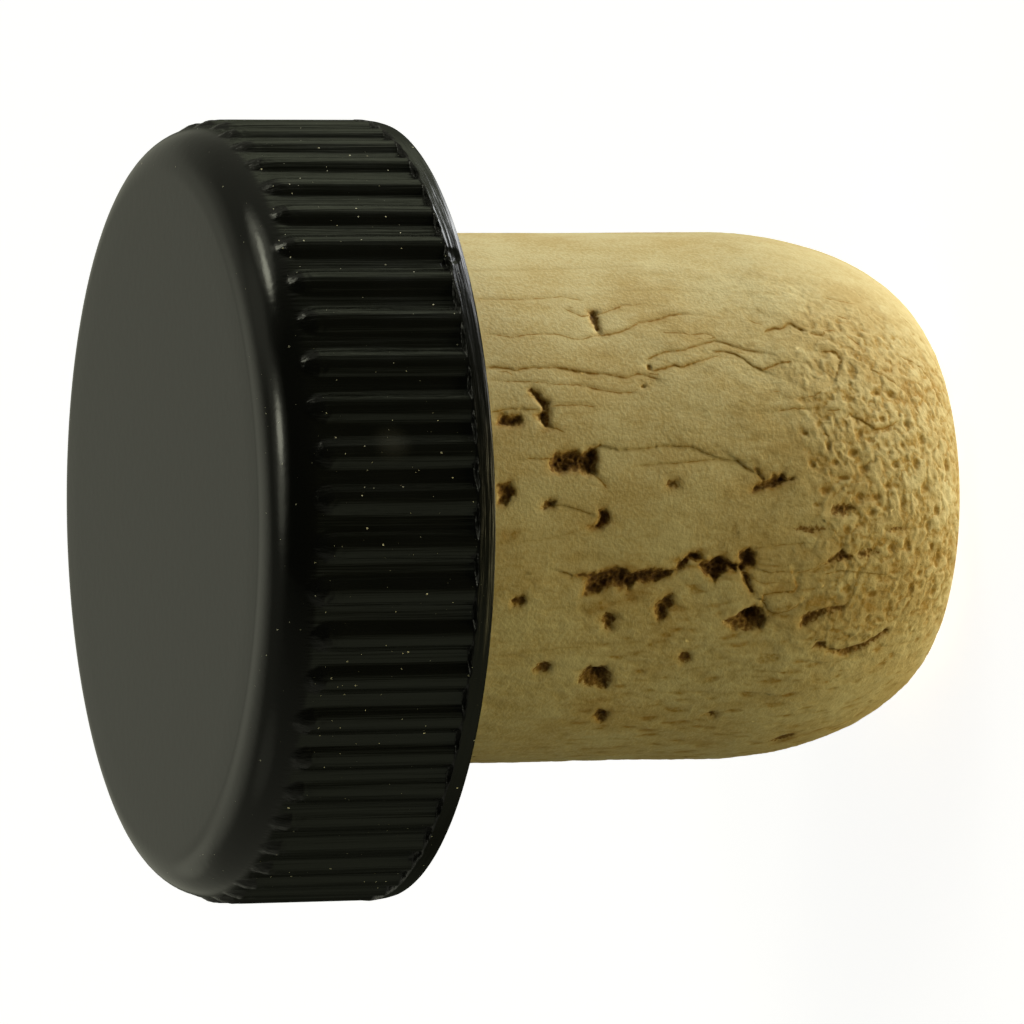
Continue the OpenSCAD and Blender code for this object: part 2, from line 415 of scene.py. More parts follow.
# cracks and fine brown lines: strength, step of the surface beside it, then the line's points
CRACKS = [
    (0.25, 0, [470,272, 512,272, 550,270.5, 580,270, 597,269, 640,268]),
    (0.45, 0, [480,300, 521,301, 550,299, 561,298, 580,301]),
    (0.25, 0, [592,298, 610,294, 622,292, 660,291, 700,293]),
    (0.7, 0, [568,312, 576,315, 581,318, 588,316]),
    (0.8, 0, [598,315, 605,313, 614,310, 622,306]),
    (0.4, 0, [622,306, 633,306, 640,305]),
    (0.5, 0, [487,335, 501,336.5, 512,339, 525,336, 554,335, 563,337, 572,340, 582,340.5, 591,337.5]),
    (0.8, 0.02, [597,336, 607,335.5, 618,333, 629,329, 639,323.5, 650,322, 660,320, 671,316, 681,315]),
    (0.3, 0, [681,315, 692,316, 705,317, 720,320, 735,319]),
    (0.8, 0.02, [489,368, 502,368, 516,371, 523,369, 533,368, 540,369, 555,368, 563,369.5, 576,372]),
    (0.65, 0.02, [576,372, 588,374, 607,375, 618,377.5, 626,378.5, 637,374, 645,376, 654,379]),
    (0.5, 0, [493,380.5, 508,382, 540,383, 555,385, 576,385.5, 588,387.5]),
    (0.65, 0.01, [588,387.5, 597,390, 607,392, 618,393.5, 631,393]),
    (0.35, 0, [631,393, 640,388, 650,384]),
    (0.6, 0.03, [648,360, 656,356, 667,352, 681,352, 692,348, 705,344.5, 713,342, 723,343.5, 733,347,
        742,350, 752,352, 761,353]),
    (0.9, 0.03, [654,371, 665,369, 673,366, 681,368, 692,364]),
    (0.4, 0.02, [692,364, 705,360, 716,357]),
    (0.5, 0, [665,334, 680,334, 690,336, 703,335, 715,338]),
    (0.6, 0.03, [716,352, 727,352.5, 735,355, 744,360, 752,367, 760,370]),
    (0.8, 0.03, [760,370, 765,370, 771,367, 780,363.5, 788,362.5]),
    (0.5, 0, [749,321, 754,324, 761,325.5]),
    (1.0, 0.04, [766,332, 772,329, 782,329, 786,325.5, 790,324, 795,328, 801,330]),
    (1.0, 0, [810,334, 816,335.5, 821,336]),
    (0.8, 0, [826,332, 833,332]),
    (0.9, 0.03, [824,352, 831,352, 837,354, 839,359, 841,360, 839,367, 837,373, 836,377]),
    (0.8, 0, [847,338, 852,341, 856,343.5]),
    (0.7, 0, [839,318, 845,320]),
    (0.5, 0, [824,299, 835,302, 845,304, 854,306]),
    (0.9, 0, [814,396, 818,394]),
    (0.5, 0, [803,398.5, 814,397]),
    (0.5, 0, [771,392, 778,392]),
    (0.5, 0.02, [780,411, 790,409.5, 811,409]),
    (1.0, 0.05, [852,416, 858,419, 864,423, 869,427, 873,430, 886,428, 894,423]),
    (0.6, 0, [828,411, 837,411]),
    (0.4, 0.02, [814,360, 820,369, 831,377]),
    (0.5, 0.02, [871,371, 883,377, 896,386, 907,394, 913,405, 917,413]),
    (0.5, 0.02, [900,358, 911,362.5, 919,369, 928,379, 934,392, 940,405]),
    (0.6, 0, [876,321, 880,324]),
    (0.5, 0, [901,320, 908,326]),
    (0.5, 0.03, [493,412, 508,409, 523,409.5, 536,409.5]),
    (0.5, 0, [548,407, 559,406, 569,406, 578,406, 593,407]),
    (0.6, 0, [549,427, 561,431]),
    (0.5, 0.02, [528,459, 548,459]),
    (0.9, 0, [594,475, 600,481, 605,486]),
    (0.7, 0.03, [595,448, 600,445]),
    (0.35, 0.04, [600,446, 620,450, 640,449, 662,446, 690,447, 716,458, 727,460, 737,461]),
    (0.6, 0.05, [737,461, 746,468, 752,471]),
    (0.4, 0.03, [640,466, 655,464, 680,463, 700,461, 720,459]),
    (0.4, 0.03, [554,505, 566,506, 580,510, 590,514]),
    (0.3, 0, [520,541, 540,540, 560,535, 572,533]),
    (0.5, 0.04, [560,571, 570,574]),
    (1.0, 0.06, [762,599, 764,594, 771,592.5, 780,592, 794,591, 797,586, 795,580]),
    (0.6, 0.04, [763,602, 768,610, 774,613.5, 785,611, 797,605, 804,598]),
    (0.5, 0.03, [797,573, 803,571, 815,568, 823,562]),
    (0.4, 0.03, [752,548, 768,547, 785,544, 802,543]),
    (0.5, 0.04, [826,573, 842,570, 863,572, 885,574, 892,571]),
    (0.4, 0.03, [756,568, 768,572, 785,571]),
    (0.4, 0.02, [755,580, 765,583, 780,582]),
    (0.3, 0.03, [812,660, 826,661, 845,657, 860,654, 885,644]),
    (0.3, 0.02, [840,678, 858,672, 880,662, 905,645]),
    (0.3, 0, [500,656, 530,650, 560,647, 600,645]),
    (0.3, 0, [560,704, 575,702, 592,704]),
    (0.3, 0.02, [700,690, 720,692, 745,691, 765,692]),
    (0.3, 0.02, [725,670, 750,668, 780,670]),
]

# small holes in the torn end: x, y, length along the axis and across it in millimetres, depth
PITS = [
    (804, 434, 0.3, 0.2, 0.2), (827, 447, 0.22, 0.5, 0.25), (834, 463, 0.35, 0.25, 0.2),
    (811, 464, 0.3, 0.25, 0.2), (859, 435, 0.3, 0.3, 0.2), (869, 440, 0.3, 0.25, 0.2),
    (901, 445, 0.25, 0.3, 0.2), (894, 465, 0.4, 0.3, 0.25), (852, 454, 0.35, 0.3, 0.2),
    (862, 468, 0.45, 0.35, 0.25), (824, 490, 0.5, 0.3, 0.2), (858, 496, 0.4, 0.35, 0.2),
    (875, 497, 0.4, 0.3, 0.2), (924, 487, 0.45, 0.5, 0.25), (945, 466, 0.3, 0.5, 0.2),
    (875, 394, 0.4, 0.25, 0.2), (890, 396, 0.5, 0.3, 0.2), (901, 503, 0.3, 0.6, 0.25),
    (909, 587, 0.25, 0.4, 0.25), (931, 590, 0.3, 0.4, 0.2), (936, 558, 0.3, 0.6, 0.25),
    (926, 525, 0.35, 0.4, 0.2), (934, 510, 0.3, 0.35, 0.2), (918, 573, 0.3, 0.3, 0.2),
    (870, 594, 0.5, 0.25, 0.15), (846, 588, 0.5, 0.3, 0.15), (885, 609, 0.4, 0.25, 0.15),
    (642, 387, 0.2, 0.15, 0.15), (648, 368, 0.15, 0.2, 0.15), (890, 548, 0.35, 0.3, 0.2),
    (905, 545, 0.3, 0.5, 0.2), (845, 530, 0.3, 0.4, 0.12), (870, 512, 0.35, 0.3, 0.2),
    (887, 486, 0.4, 0.3, 0.2), (842, 478, 0.5, 0.2, 0.2), (915, 465, 0.3, 0.35, 0.2),
    (930, 545, 0.25, 0.3, 0.2), (860, 524, 0.4, 0.25, 0.15), (816, 505, 0.4, 0.2, 0.12),
    (905, 425, 0.3, 0.3, 0.2), (920, 440, 0.3, 0.4, 0.2), (880, 420, 0.3, 0.2, 0.15),
]

# pores and cracks strewn over the side that the picture doesn't show
HIDDEN_PORES = 34
HIDDEN_CRACKS = 26
# corners of such a pore, and the length along the axis between a crack's points
HIDDEN_CORNERS = 9
CRACK_STRIDE = 0.8
CHANCE_SEED = 11
# height below which none of them reaches
LOWEST_MARK = 0.6


# ---- the cork

CORK_STEP = 0.05
BACK_STEP = 0.1
CORK_TRIANGLES = 190000
# the flat foot's rows are this many times as far apart
FLAT_STEPS = 1.5
# rows of the tapered seat in the cap, and the inset of the ring on its flat end
SEAT_ROWS = 4
SEAT_RING_IN = 3
# points along a sight line and along the rounded end
SIGHT_POINTS = 2000
ARC_POINTS = 3000

# the side stands a little proud of the plain outline, most at one corner of the end
PROUD = 0.07
CORNER_PROUD = 0.03
CORNER = (-140, -100, -30, -5)
# how far the surface may rise and sink
RISE_LIMIT = 0.2
SINK_LIMIT = 0.9

# heights of the relief; CRUMBS are the torn end's ragged, fine and broad bumps
SWELL = 0.03
GRAIN = 0.005
WRINKLE = 0.008
FLAKE = 0.01
DASH = 0.02
LOW_GRAIN = 0.009
LOW_WRINKLE = 0.014
FURROW = 0.05
CRUMBS = (0.026, 0.014, 0.03)
# the side that is worn smooth, and the middle of the one that the picture shows, as angles
WORN_SIDE = (10, 35, 95, 130)
SEEN_MIDDLE = 4
# distances below the rim over which a relief sets in, or the wear ends
FLAKES_FROM = (5, 12)
DASHES_FROM = (2, 8)
TORN_FROM = (12.2, 15)
WORN_TO = (13.5, 9)
# steps in the flakes for each unit of their noise
FLAKE_STEPS = 3.2

# how far a mark may reach round its points, and a distance beyond any
MARGIN = 0.9
FAR = 99.0
# how much a pore's edge frays, and how far its brown rim reaches
FRAY = 0.065
FRAY_FINE = 0.045
HALO = 0.26
# taken as the distance to a crack where none is near
NO_CRACK = 1.0
# how far a crack wavers, and over what length the step beside it levels out
WAVER = 0.03
STEP_LENGTH = 0.5


def cork_radius(z):
    """Radius of the plain cork at a height."""
    t = np.clip(1 - z / NOSE_UP, 0, 1)
    return CORK_R - NOSE_IN * (1 - np.sqrt(1 - t ** 2))


def seen_at(points):
    """Place on the plain cork of each point of the picture: height, and angle from the front."""
    off_middle = np.reshape(points, (-1, 2)) - PICTURE / 2
    back, right, up = camera_axes()
    focal = CAMERA_LENS / SENSOR * PICTURE
    way = -back + right * off_middle[:, :1] / focal - up * off_middle[:, 1:] / focal
    start = np.array(CAMERA_AIM) + CAMERA_DISTANCE * back
    near = CAMERA_DISTANCE + np.linspace(-CAP_R, CAP_R / 2, SIGHT_POINTS)
    places = start + way[:, None] * near[None, :, None]
    inside = np.hypot(places[..., 0] - CORK_X, places[..., 1]) < cork_radius(places[..., 2])
    inside &= places[..., 2] > 0
    hit = places[np.arange(len(places)), inside.argmax(1)]
    return hit[:, 2], np.degrees(np.arctan2(hit[:, 0] - CORK_X, -hit[:, 1]))


def run_along(r, z):
    """Distance along an outline to each of its points."""
    return np.concatenate([[0], np.cumsum(np.hypot(np.diff(r), np.diff(z)))])


def cork_profile():
    """Rows of the cork from its hidden end to its foot: radius, height, outward normal; and the
    number of rows that the cap hides."""
    seat_r = CORK_R - SEAT_TAPER
    hidden = [(0, CORK_TOP_Z), (CORK_R - SEAT_RING_IN, CORK_TOP_Z), (seat_r, CORK_TOP_Z)]
    for k in range(SEAT_ROWS - 1, 0, -1):
        hidden.append((CORK_R - SEAT_TAPER * k / SEAT_ROWS, RIM_Z + (CORK_TOP_Z - RIM_Z) * k / SEAT_ROWS))
    side = [(CORK_R, z) for z in np.arange(RIM_Z, NOSE_UP, -CORK_STEP)]
    t = np.linspace(0, math.pi / 2, ARC_POINTS)
    nose_r = CORK_R - NOSE_IN + NOSE_IN * np.cos(t)
    nose_z = NOSE_UP - NOSE_UP * np.sin(t)
    run = run_along(nose_r, nose_z)
    at = np.linspace(0, run[-1], int(run[-1] / CORK_STEP) + 1)
    nose = list(zip(np.interp(at, run, nose_r), np.interp(at, run, nose_z)))
    flat_r = CORK_R - NOSE_IN
    flat = [(r, 0) for r in np.linspace(flat_r, 0, int(flat_r / CORK_STEP / FLAT_STEPS))[1:]]
    points = np.array(hidden + side + nose + flat, float)
    step = np.gradient(points, axis=0)
    normal = np.stack([-step[:, 1], step[:, 0]], -1)
    normal /= np.linalg.norm(normal, axis=1)[:, None]
    return points[:, 0], points[:, 1], normal, len(hidden)


def segment_distance(u, v, a, b):
    """Distance from (u, v) to the segment ab, and a number that is above zero on its left."""
    du, dv = b[0] - a[0], b[1] - a[1]
    t = np.clip(((u - a[0]) * du + (v - a[1]) * dv) / (du * du + dv * dv), 0, 1)
    side = du * (v - a[1]) - dv * (u - a[0])
    return np.hypot(u - a[0] - t * du, v - a[1] - t * dv), side


def outline_distance(u, v, points):
    """Distance to a closed outline, below zero inside it."""
    best = np.full(u.shape, FAR)
    inside = np.zeros(u.shape, bool)
    for a, b in zip(points, points[1:] + points[:1]):
        best = np.minimum(best, segment_distance(u, v, a, b)[0])
        if a[1] != b[1]:
            crosses = (a[1] > v) != (b[1] > v)
            inside ^= crosses & (u < a[0] + (v - a[1]) * (b[0] - a[0]) / (b[1] - a[1]))
    return np.where(inside, -best, best)


class CorkSkin:
    """The cork's surface unrolled: rows run down its outline, columns round it.

    'drop' is how deep it is sunk. The shader gets 'pit' (inside of pores, with a painted shadow on their
    side that is higher in the picture), 'stain', 'split' (strength of the nearest crack) and 'gap'
    (distance from that crack, below zero on one side).
    """

    def __init__(self):
        self.radius, self.height, self.normal, self.first = cork_profile()
        self.run = run_along(self.radius, self.height)
        front = np.arange(-90, 90, math.degrees(CORK_STEP / CORK_R))
        back = np.arange(90, 270, math.degrees(BACK_STEP / CORK_R))
        self.psi = np.concatenate([front, back])
        angle = np.radians(self.psi)
        self.out = np.stack([np.sin(angle), -np.cos(angle)], -1)
        self.base = np.stack([
            self.radius[:, None] * self.out[:, 0] + CORK_X,
            self.radius[:, None] * self.out[:, 1],
            np.broadcast_to(self.height[:, None], (len(self.height), len(self.psi))),
        ], -1)
        # distance below the cap's rim, and angle from -180 to 180
        self.below = (RIM_Z - self.height)[:, None]
        self.turn = centred(self.psi)[None, :]
        shape = self.base.shape[:2]
        self.drop = np.zeros(shape)
        self.pit_and_shadow = np.zeros(shape)
        self.stain = np.zeros(shape)
        self.split = np.zeros(shape)
        self.gap = np.full(shape, NO_CRACK)
        self.ragged = layers(self.base, size=0.3, seed=13, count=3)
        self.crumbs = layers(self.base, size=0.17, seed=15, count=2)
        self.wrinkle = layers(drawn_in(self.base, 0.22), size=0.42, seed=14, count=3)
        self.grain = layers(self.base, size=0.32, seed=12, count=2)
        self.worn = 1 - 0.7 * region(self.turn, WORN_SIDE) * smooth(*WORN_TO, self.below)

    def darken(self, at, stain):
        self.stain[at] = np.maximum(self.stain[at], stain)

    # -- relief all over

    def add_grain(self):
        """An uneven swell, fine grain, and wrinkles along the axis."""
        swell = SWELL * noise(self.base, size=4.0, seed=11)
        self.drop += swell + self.worn * (GRAIN * self.grain + WRINKLE * self.wrinkle)

    def add_flakes(self):
        """Thin flakes with sharp edges, where the side was torn rather than cut."""
        uneven = self.below + 2 * noise(self.base, size=3.0, seed=26)
        seen = 1 - 0.8 * smooth(48, 62, np.abs(self.turn - SEEN_MIDDLE))
        hidden = 0.6 * smooth(100, 125, np.abs(self.turn)) * smooth(2, 9, self.below)
        flaky = np.maximum(smooth(*FLAKES_FROM, uneven) * seen, hidden)
        tread = FLAKE_STEPS * layers(drawn_in(self.base, 0.55), size=1.3, seed=27, count=4)
        part = tread - np.floor(tread)
        level = np.floor(tread) + smooth(0.42, 0.58, part)
        self.drop += FLAKE * flaky * (level - tread * 0.35)
        edge = smooth(0.16, 0.02, np.abs(part - 0.5)) * smooth(0.0, 0.5, self.grain + 0.3)
        self.stain += 0.25 * flaky * edge

    def add_dashes(self):
        """Short brown dashes along the axis, most of them on the side that is lower in the picture."""
        dashes = smooth(0.12, 0.75, layers(drawn_in(self.base, 0.33), size=0.3, seed=41, count=2))
        uneven = self.turn + 6 * noise(self.base, size=2.5, seed=43)
        lower = smooth(4, -22, uneven) * smooth(-120, -90, self.turn)
        dashes = dashes * (0.12 + 0.88 * lower * smooth(*DASHES_FROM, self.below)) * self.worn
        self.drop += DASH * dashes + lower * (LOW_GRAIN * self.grain + LOW_WRINKLE * self.wrinkle)
        self.stain += 0.36 * dashes + 0.14 * lower * smooth(0, 0.8, self.wrinkle)

    def add_torn_end(self):
        """The rounded end is torn: light crumbs between brown furrows and shallow hollows."""
        base, turn = self.base, self.turn
        rough = smooth(*TORN_FROM, self.below + 1.3 * noise(base, size=2.2, seed=21))
        front = smooth(-50, -26, turn + 5 * noise(base, size=2.0, seed=28)) * smooth(62, 30, turn)
        rough = rough * np.maximum(0.15 + 0.85 * front, 0.75 * smooth(95, 125, np.abs(turn)))
        field = layers(drawn_in(base, 1.1) + 0.1 * self.ragged[..., None], size=1.0, seed=24, count=4)
        furrow = smooth(0.3, 0.0, np.abs(field + 0.1))
        hollow = np.clip(0.5 * smooth(0.1, 0.7, field) + 0.6 * furrow, 0, 1)
        bumps = noise(base, size=0.8, seed=23)
        crumbly = CRUMBS[0] * self.ragged + CRUMBS[1] * self.crumbs + CRUMBS[2] * bumps
        self.drop += rough * (FURROW * hollow + crumbly - 0.02)
        brown = 0.06 + 0.55 * hollow + 0.2 * smooth(0.0, 0.8, self.ragged)
        self.stain = np.maximum(self.stain, rough * brown)

    # -- single marks, each at (height, angle) places

    def run_at(self, z):
        """Distance along the outline of a height on the side or the rounded end."""
        first = self.first
        return np.interp(-np.asarray(z, float), -self.height[first:], self.run[first:])

    def patch(self, places):
        """The part of the surface round some places, and the places in its flat coordinates."""
        z, psi = places
        along = self.run_at(z)
        mid = psi.mean()
        rows = np.where((self.run > along.min() - MARGIN) & (self.run < along.max() + MARGIN))[0]
        rows = rows[rows >= self.first]
        reach = math.degrees(MARGIN / self.radius[rows].min())
        turn = centred(self.psi - mid)
        cols = np.where((turn > psi.min() - mid - reach) & (turn < psi.max() - mid + reach))[0]
        u = np.broadcast_to(self.run[rows][:, None], (len(rows), len(cols)))
        v = np.radians(turn[cols])[None, :] * self.radius[rows][:, None]
        here = np.interp(along, self.run, self.radius)
        return np.ix_(rows, cols), u, v, list(zip(along, np.radians(psi - mid) * here))

    def pore(self, depth, dark, places):
        """A ragged hole with a brown rim, darkest along the side higher in the picture by a painted
        shadow.
        """
        at, u, v, path = self.patch(places)
        ragged, crumbs = self.ragged[at], self.crumbs[at]
        away = outline_distance(u, v, path) + FRAY * ragged + FRAY_FINE * crumbs
        hole = smooth(0.04, -0.12, away) * (0.5 + 0.5 * smooth(0, -0.35, away))
        sunk = 0.5 * depth * hole * (1 + 0.5 * crumbs)
        self.drop[at] += sunk + 0.02 * smooth(0.2, 0, away)
        across = np.array([p[1] for p in path])
        # painted shadow: the pore is made darker towards its side that is higher in the picture
        shadowed_side = np.clip((v - across.mean()) / (0.1 + np.ptp(across) / 2), -1, 1)
        shade = (0.3 + 0.7 * dark) * (1 + 0.25 * shadowed_side)
        self.pit_and_shadow[at] = np.maximum(self.pit_and_shadow[at], shade * smooth(0.12, -0.2, away))
        rim = dark * smooth(HALO, -0.1, away + 0.07 * ragged)
        self.darken(at, 0.65 * rim)

    def stained(self, strength, places):
        """A brown stain, a touch lower than the surface round it."""
        at, u, v, path = self.patch(places)
        away = outline_distance(u, v, path) + 0.12 * self.ragged[at]
        self.darken(at, strength * smooth(0.2, -0.2, away))
        self.drop[at] += 0.03 * strength * smooth(0.1, -0.1, away)

    def crack(self, strength, step, places):
        """A shallow crack; the side towards -X lies a step lower, and rises back to the level."""
        at, u, v, path = self.patch(places)
        u_here = u + WAVER * self.ragged[at]
        v_here = v + WAVER * self.crumbs[at]
        best = np.full(u.shape, FAR)
        sides = np.zeros(u.shape)
        for a, b in zip(path, path[1:]):
            away, side = segment_distance(u_here, v_here, a, b)
            sides = np.where(away < best, side, sides)
            best = np.minimum(best, away)
        self.drop[at] += (0.004 + 0.018 * strength) * smooth(0.1, 0.0, best)
        lower = (sides < 0) * np.exp(-best / STEP_LENGTH) * smooth(0.9, 0.5, best)
        self.drop[at] += step * lower
        self.darken(at, 0.4 * strength * smooth(0.17, 0.0, best))
        nearer = best < np.abs(self.gap[at])
        self.gap[at] = np.where(nearer, np.sign(sides) * best, self.gap[at])
        self.split[at] = np.where(nearer, strength * smooth(0.2, 0.06, best), self.split[at])

    def dent(self, long, wide, depth, places):
        """A small round hole with a brown floor."""
        at, u, v, path = self.patch(places)
        u_mid, v_mid = path[0]
        away = np.hypot((u - u_mid) / (long / 2), (v - v_mid) / (wide / 2))
        away = away + 0.5 * self.ragged[at] + 0.3 * self.crumbs[at]
        self.drop[at] += 0.4 * depth * smooth(1.4, 0.2, away)
        self.darken(at, 0.6 * smooth(1.5, 0.4, away))

    # -- the result

    def mesh(self, name):
        """The surface with its relief, which fades out inside the cap and at the foot."""
        rows = np.arange(len(self.height))[:, None]
        show = smooth(-0.05, 0.3, self.below) * (rows >= self.first)
        proud = PROUD + CORNER_PROUD * (region(self.turn, CORNER) * smooth(9, 14, self.below))
        drop = np.clip(self.drop - proud, -RISE_LIMIT, SINK_LIMIT) * show
        # the foot stays on the ground, so nothing may stand out there
        drop = np.maximum(drop, -RISE_LIMIT * smooth(0.0, 1.0, self.height)[:, None])
        rings = self.base.copy()
        rings[..., 0] -= drop * self.normal[:, None, 0] * self.out[:, 0]
        rings[..., 1] -= drop * self.normal[:, None, 0] * self.out[:, 1]
        rings[..., 2] -= drop * self.normal[:, None, 1]
        return ring_mesh(name, rings, {
            "pit_and_shadow": self.pit_and_shadow * show, "stain": np.clip(self.stain, 0, 1) * show,
            "split": self.split * show, "gap": np.clip(self.gap, -0.3, 0.3),
        })


def strew_pores(skin, chance):
    """Random pores on the side that the picture doesn't show."""
    corners = [k * math.tau / HIDDEN_CORNERS for k in range(HIDDEN_CORNERS)]
    for _ in range(HIDDEN_PORES):
        z = chance.uniform(2.0, RIM_Z - 1)
        psi = chance.uniform(82, 278)
        long = chance.uniform(0.2, 0.75) * (1 if z > NOSE_UP else 0.7)
        wide = chance.uniform(0.15, 0.4)
        push = [chance.uniform(0.6, 1.25) for _ in corners]
        heights = np.array([z + long * p * math.cos(w) for w, p in zip(corners, push)])
        angles = np.array([
            psi + math.degrees(wide * p * math.sin(w) / CORK_R) for w, p in zip(corners, push)
        ])
        dark = chance.uniform(0.4, 1)
        skin.pore(0.2 + 0.4 * dark, dark, (np.clip(heights, LOWEST_MARK, RIM_Z), angles))


def strew_cracks(skin, chance):
    """Random cracks on the side that the picture doesn't show."""
    for _ in range(HIDDEN_CRACKS):
        z = chance.uniform(4, RIM_Z - 0.5)
        psi = chance.uniform(85, 275)
        lean = chance.uniform(-5, 5)
        count = chance.randint(3, 7)
        heights = np.array([z - CRACK_STRIDE * k for k in range(count)])
        angles = np.array([psi + lean * k * 0.4 + chance.uniform(-1.2, 1.2) for k in range(count)])
        strength = chance.uniform(0.25, 0.8)
        step = chance.choice((0, 0.02))
        skin.crack(strength, step, (np.clip(heights, LOWEST_MARK, RIM_Z), angles))


def thinned(obj, count):
    """Collapses the mesh to a number of triangles, which leaves them where the surface is busy."""
    modifier = obj.modifiers.new("thin", "DECIMATE")
    modifier.ratio = count / triangles(obj)
    graph = bpy.context.evaluated_depsgraph_get()
    mesh = bpy.data.meshes.new_from_object(obj.evaluated_get(graph))
    obj.modifiers.clear()
    co = np.zeros(3 * len(mesh.vertices), np.float32)
    mesh.vertices.foreach_get("co", co)
    # nothing sinks below the ground
    co[2::3] = np.maximum(co[2::3], 0)
    mesh.vertices.foreach_set("co", co)
    old = obj.data
    obj.data = mesh
    bpy.data.meshes.remove(old)
    return obj


def make_cork():
    skin = CorkSkin()
    skin.add_grain()
    skin.add_flakes()
    skin.add_dashes()
    skin.add_torn_end()
    for depth, dark, points in PORES:
        skin.pore(depth, dark, seen_at(points))
    for strength, points in STAINS:
        skin.stained(strength, seen_at(points))
    for strength, step, points in CRACKS:
        skin.crack(strength, step, seen_at(points))
    for x, y, long, wide, depth in PITS:
        skin.dent(long, wide, depth, seen_at([x, y]))
    chance = random.Random(CHANCE_SEED)
    strew_pores(skin, chance)
    strew_cracks(skin, chance)
    return thinned(skin.mesh("cork_shank"), CORK_TRIANGLES)


# ---- materials

def feed(tree, socket, value):
    """Links another node's output to an input, or sets the input to a plain value."""
    if isinstance(value, bpy.types.NodeSocket):
        tree.links.new(value, socket)
    else:
        socket.default_value = value


def node(tree, kind, inputs=None, **settings):
    """Adds a shader node; an input is a value or another node's output."""
    made = tree.nodes.new("ShaderNode" + kind)
    for key, value in settings.items():
        setattr(made, key, value)
    for key, value in (inputs or {}).items():
        feed(tree, made.inputs[key], value)
    return made


def maths(tree, operation, a, b=0.0, c=0.0, clamp=False):
    inputs = {0: a, 1: b, 2: c}
    return node(tree, "Math", inputs, operation=operation, use_clamp=clamp).outputs[0]


def times(tree, a, b):
    return maths(tree, "MULTIPLY", a, b)


def scaled(tree, value, factor, offset=0.0):
    return maths(tree, "MULTIPLY_ADD", value, factor, offset)


def between(tree, low, shadowed_side, value, to=(0.0, 1.0)):
    """A soft S from to[0] at low to to[1] at high; low may be the larger one."""
    inputs = {"Value": value, "From Min": low, "From Max": shadowed_side, "To Min": to[0], "To Max": to[1]}
    return node(tree, "MapRange", inputs, interpolation_type="SMOOTHSTEP").outputs[0]


def ramp(tree, factor, stops, interpolation="LINEAR"):
    """A colour ramp; stops are (place, grey or colour)."""
    made = node(tree, "ValToRGB", {"Fac": factor})
    made.color_ramp.interpolation = interpolation
    elements = made.color_ramp.elements
    while len(elements) < len(stops):
        elements.new(0.5)
    for element, (place, shade) in zip(elements, stops):
        element.position = place
        element.color = (*shade, 1) if isinstance(shade, tuple) else (shade, shade, shade, 1)
    return made.outputs["Color"]


def mix(tree, factor, a, b, blend="MIX"):
    """A colour mixed from two; the enabled one of inputs with the same name is for colours."""
    made = node(tree, "Mix", data_type="RGBA", blend_type=blend)
    for key, value in (("Factor", factor), ("A", a), ("B", b)):
        feed(tree, next(s for s in made.inputs if s.name == key and s.enabled), value)
    return next(s for s in made.outputs if s.enabled)


def mix_grey(tree, factor, a, b):
    return node(tree, "Mix", {0: factor, 2: a, 3: b}, data_type="FLOAT").outputs[0]


def clouds(tree, place, scale, detail, roughness=0.5):
    """A noise texture's grey value, around 0.5; scale is in bumps per metre."""
    inputs = {"Vector": place, "Scale": scale, "Detail": detail, "Roughness": roughness}
    return node(tree, "TexNoise", inputs).outputs[0]


def stretched(tree, place, scale):
    return node(tree, "Mapping", {"Vector": place, "Scale": scale}).outputs[0]


def bump(tree, height, strength, distance, under=None):
    """Fine relief from a grey value, 'distance' high in millimetres, on top of another bump."""
    inputs = {"Height": height, "Strength": strength, "Distance": distance * MM}
    if under is not None:
        inputs["Normal"] = under
    return node(tree, "Bump", inputs).outputs[0]


def emptied(owner):
    """The node tree of a material or world, with its first nodes removed."""
    owner.use_nodes = True
    owner.node_tree.nodes.clear()
    return owner.node_tree


def new_material(name):
    """A material, its tree, and the place and height of a point on the object."""
    material = bpy.data.materials.new(name)
    tree = emptied(material)
    place = node(tree, "TexCoord").outputs["Object"]
    return material, tree, place, node(tree, "SeparateXYZ", {0: place}).outputs[2]


def finish(tree, surface):
    node(tree, "OutputMaterial", {"Surface": surface.outputs[0]})


def linear(r, g, b):
    """An sRGB colour, 0 to 255, as the linear values that a shader takes."""
    def one(v):
        v /= 255
        return v / 12.92 if v <= 0.04045 else ((v + 0.055) / 1.055) ** 2.4
    return one(r), one(g), one(b)


# colours of the cap: the plastic, a painted highlight on it as a soft grey patch, and dust from dull to
# pale
BLACK = linear(14, 15, 11)
HIGHLIGHT_GREY = linear(46, 46, 41)
DUST_DULL = linear(130, 130, 112)
DUST_PALE = linear(235, 230, 200)
# the painted highlight on the ribs, a soft grey patch: place of its middle (x, y, z), and radius
HIGHLIGHT_PLACE = (2.4, -14.1, 24.75)
HIGHLIGHT_R = 0.9
# dust: specks per metre, radius of the smallest and how much more the largest have, in parts of
# their spacing, and how much of it they lack on the top face
DUST_SCALE = 3400
DUST_R = 0.03
DUST_R_MORE = 0.11
DUST_ON_FACE = 0.9
# roughness: of the band, then from glossy to dull patches of the grip and of the rest
BAND_ROUGHNESS = 0.22
GRIP_ROUGHNESS = (0.11, 0.2)
PLAIN_ROUGHNESS = (0.1, 0.14)
# reflection level of the plastic, and how much lower it is on the band
GLOSS = 0.5
GLOSS_LESS = 0.2
PLASTIC_IOR = 1.5


